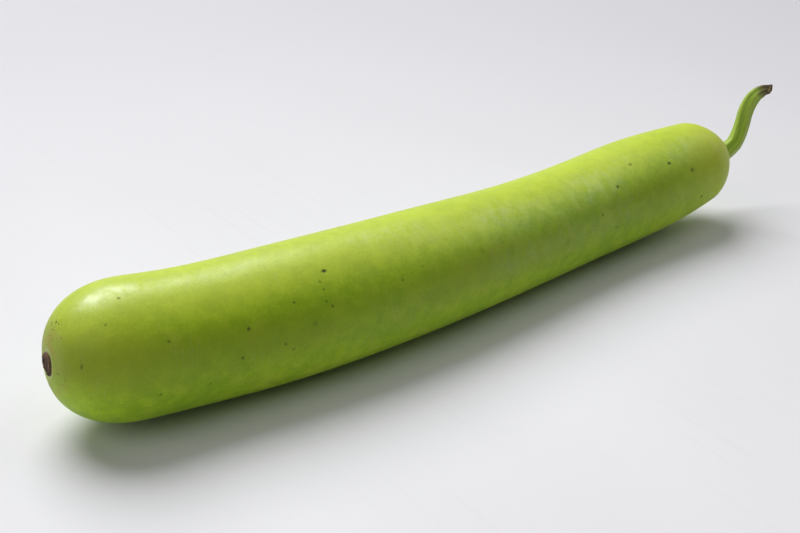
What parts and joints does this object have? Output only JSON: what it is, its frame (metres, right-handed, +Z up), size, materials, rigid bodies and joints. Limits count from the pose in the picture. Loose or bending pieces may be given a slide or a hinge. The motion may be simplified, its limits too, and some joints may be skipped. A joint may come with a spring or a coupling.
{
  "type": "bottle gourd",
  "caption": "Long slim bottle gourd lying on its side: a gently bowed smooth fruit with rounded ends, a ribbed curved stem and a corky blossom scar.",
  "frame": {"origin": "middle of the whole gourd's footprint, on the surface that it lies on", "axes": "+X runs along the fruit from the blossom end to the stem end, +Z is up, and the fruit bows sideways towards -Y"},
  "size_m": [0.5106, 0.0904, 0.0814],
  "materials": {
    "skin": "smooth waxy green skin with a soft gloss, fine pale mottling and a few dark freckles",
    "stem": "matt ribbed green stalk with a dried brown cut end",
    "scar": "dry crumbled dark brown cork"
  },
  "bodies": {
    "root": {"fruit": "skin", "stem": "stem", "blossom_scar": "scar"}
  },
  "joints": []
}
